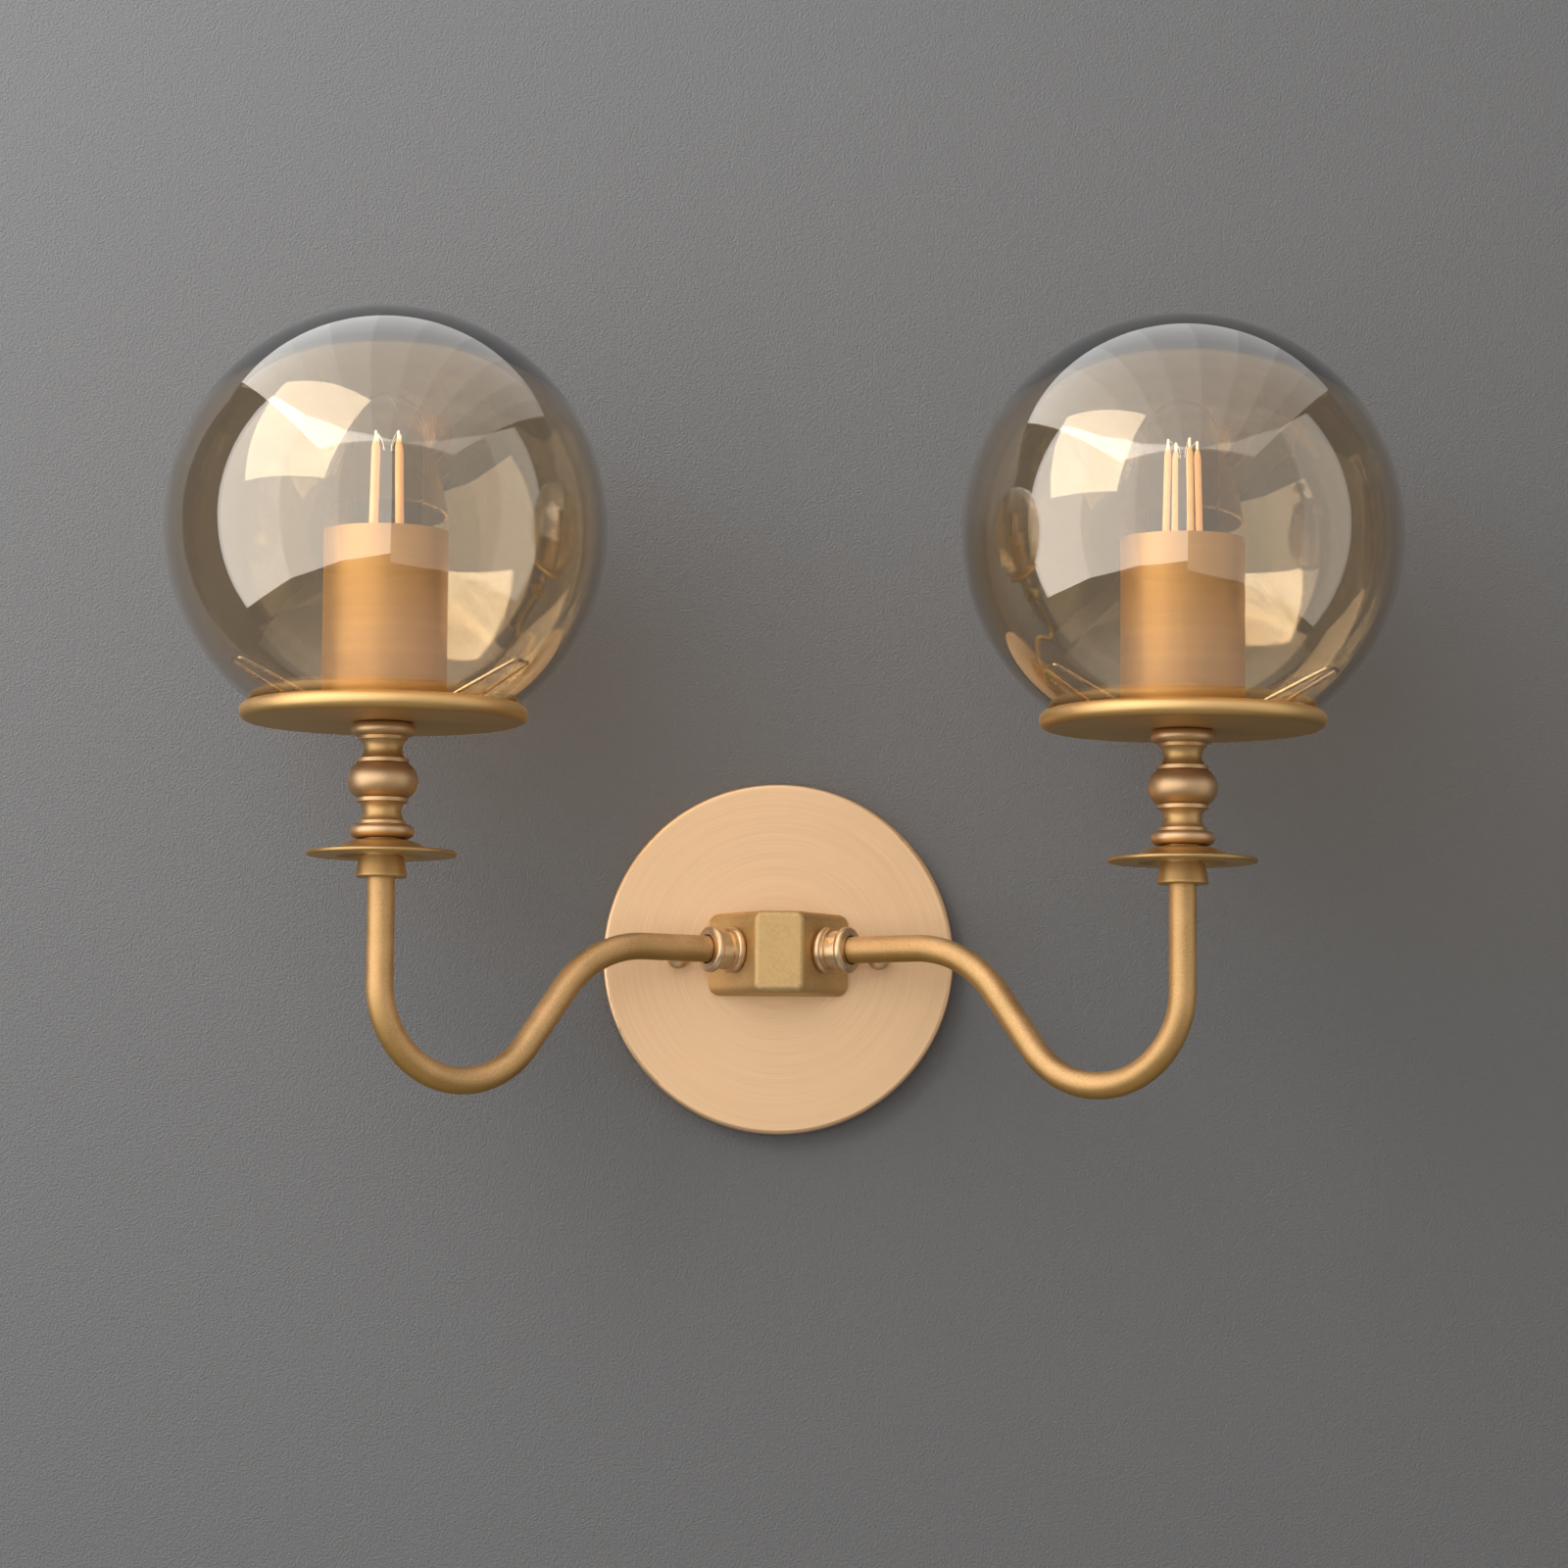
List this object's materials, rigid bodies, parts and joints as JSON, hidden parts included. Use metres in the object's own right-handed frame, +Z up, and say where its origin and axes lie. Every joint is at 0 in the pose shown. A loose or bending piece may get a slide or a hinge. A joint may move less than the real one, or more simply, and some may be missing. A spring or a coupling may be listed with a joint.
{
  "type": "double arm wall sconce",
  "caption": "Wall sconce with curved tube arms that rise from a cast block on a round backplate to turned stems, each with a dish, a socket and a round amber glass globe.",
  "frame": {"origin": "centre of the backplate on the wall plane, midway between the junction box screws", "axes": "+X runs right along the wall, from one lamp to the other; +Y points into the wall; +Z is up"},
  "size_m": [0.4264, 0.1797, 0.2818],
  "materials": {
    "lacquered_brass": "lacquered satin",
    "zinc_steel": "zinc plated",
    "green_screw": "coated",
    "spring_wire": "brass plated",
    "amber_glass": "clear gloss",
    "clear_glass": "clear gloss",
    "socket_moulding": "moulded",
    "contact_brass": "plain",
    "cap_metal": "plain",
    "cap_insulator": "glazed",
    "filament_coating": "matte",
    "lead_sleeve": "smooth"
  },
  "bodies": {
    "fixture": {"crossbar": "zinc_steel", "crossbar_studs": "zinc_steel", "stud_nuts": "zinc_steel", "ground_screw": "green_screw", "backplate": "lacquered_brass", "body_nipple": "zinc_steel", "nipple_washer": "zinc_steel", "nipple_nut": "zinc_steel", "cast_body": "lacquered_brass", "left_arm_collar": "lacquered_brass", "left_arm": "lacquered_brass", "left_lead": "lead_sleeve", "left_stem_collar": "lacquered_brass", "left_bobeche": "lacquered_brass", "left_spindle": "lacquered_brass", "left_lamp_nipple": "zinc_steel", "left_globe_plate": "lacquered_brass", "left_clip_carrier": "lacquered_brass", "left_socket_cup": "lacquered_brass", "left_socket_nut": "zinc_steel", "left_socket_body": "socket_moulding", "left_socket_shell": "contact_brass", "left_socket_contact": "contact_brass", "right_arm_collar": "lacquered_brass", "right_arm": "lacquered_brass", "right_lead": "lead_sleeve", "right_stem_collar": "lacquered_brass", "right_bobeche": "lacquered_brass", "right_spindle": "lacquered_brass", "right_lamp_nipple": "zinc_steel", "right_globe_plate": "lacquered_brass", "right_clip_carrier": "lacquered_brass", "right_socket_cup": "lacquered_brass", "right_socket_nut": "zinc_steel", "right_socket_body": "socket_moulding", "right_socket_shell": "contact_brass", "right_socket_contact": "contact_brass"},
    "left_ball_nut_body": {"left_ball_nut": "lacquered_brass"},
    "left_globe_body": {"left_globe": "amber_glass"},
    "left_bulb_body": {"left_bulb_cap": "cap_metal", "left_bulb_insulator": "cap_insulator", "left_bulb_contact": "contact_brass", "left_bulb_glass": "clear_glass", "left_bulb_stem": "clear_glass", "left_bulb_filaments": "filament_coating"},
    "left_clip_back_body": {"left_clip_back": "spring_wire"},
    "left_clip_front_left_body": {"left_clip_front_left": "spring_wire"},
    "left_clip_front_right_body": {"left_clip_front_right": "spring_wire"},
    "right_ball_nut_body": {"right_ball_nut": "lacquered_brass"},
    "right_globe_body": {"right_globe": "amber_glass"},
    "right_bulb_body": {"right_bulb_cap": "cap_metal", "right_bulb_insulator": "cap_insulator", "right_bulb_contact": "contact_brass", "right_bulb_glass": "clear_glass", "right_bulb_stem": "clear_glass", "right_bulb_filaments": "filament_coating"},
    "right_clip_back_body": {"right_clip_back": "spring_wire"},
    "right_clip_front_left_body": {"right_clip_front_left": "spring_wire"},
    "right_clip_front_right_body": {"right_clip_front_right": "spring_wire"}
  },
  "joints": [
    {"name": "left_globe_lift", "type": "slide", "parent": "fixture", "child": "left_globe_body", "axis": [0, 0, 1], "range_m": [0, 0.115], "deforming": ["left_clip_back", "left_clip_front_left", "left_clip_front_right"]},
    {"name": "left_bulb_unscrew", "type": "hinge", "parent": "fixture", "child": "left_bulb_body", "pos_m": [-0.137, -0.10353, 0.0962], "axis": [0, 0, 1], "range_deg": [0, 1620]},
    {"name": "left_clip_back_fold", "type": "hinge", "parent": "fixture", "child": "left_clip_back_body", "pos_m": [-0.137, -0.07603, 0.0803], "axis": [1, 0, 0], "range_deg": [0, 60], "stiffness_Nm_per_rad": 0.02, "springref_deg": -20.05},
    {"name": "left_clip_front_left_fold", "type": "hinge", "parent": "fixture", "child": "left_clip_front_left_body", "pos_m": [-0.16082, -0.11728, 0.0803], "axis": [-0.5, 0.866, 0], "range_deg": [0, 60], "stiffness_Nm_per_rad": 0.02, "springref_deg": -20.05},
    {"name": "left_clip_front_right_fold", "type": "hinge", "parent": "fixture", "child": "left_clip_front_right_body", "pos_m": [-0.11318, -0.11728, 0.0803], "axis": [-0.5, -0.866, 0], "range_deg": [0, 60], "stiffness_Nm_per_rad": 0.02, "springref_deg": -20.05},
    {"name": "left_ball_nut_unscrew", "type": "hinge", "parent": "fixture", "child": "left_ball_nut_body", "pos_m": [-0.0363, -0.007, 0], "axis": [0, -1, 0], "range_deg": [0, 2520]},
    {"name": "right_globe_lift", "type": "slide", "parent": "fixture", "child": "right_globe_body", "axis": [0, 0, 1], "range_m": [0, 0.115], "deforming": ["right_clip_back", "right_clip_front_left", "right_clip_front_right"]},
    {"name": "right_bulb_unscrew", "type": "hinge", "parent": "fixture", "child": "right_bulb_body", "pos_m": [0.137, -0.10353, 0.0962], "axis": [0, 0, 1], "range_deg": [0, 1620]},
    {"name": "right_clip_back_fold", "type": "hinge", "parent": "fixture", "child": "right_clip_back_body", "pos_m": [0.137, -0.07603, 0.0803], "axis": [1, 0, 0], "range_deg": [0, 60], "stiffness_Nm_per_rad": 0.02, "springref_deg": -20.05},
    {"name": "right_clip_front_left_fold", "type": "hinge", "parent": "fixture", "child": "right_clip_front_left_body", "pos_m": [0.11318, -0.11728, 0.0803], "axis": [-0.5, 0.866, 0], "range_deg": [0, 60], "stiffness_Nm_per_rad": 0.02, "springref_deg": -20.05},
    {"name": "right_clip_front_right_fold", "type": "hinge", "parent": "fixture", "child": "right_clip_front_right_body", "pos_m": [0.16082, -0.11728, 0.0803], "axis": [-0.5, -0.866, 0], "range_deg": [0, 60], "stiffness_Nm_per_rad": 0.02, "springref_deg": -20.05},
    {"name": "right_ball_nut_unscrew", "type": "hinge", "parent": "fixture", "child": "right_ball_nut_body", "pos_m": [0.0363, -0.007, 0], "axis": [0, -1, 0], "range_deg": [0, 2520]}
  ]
}
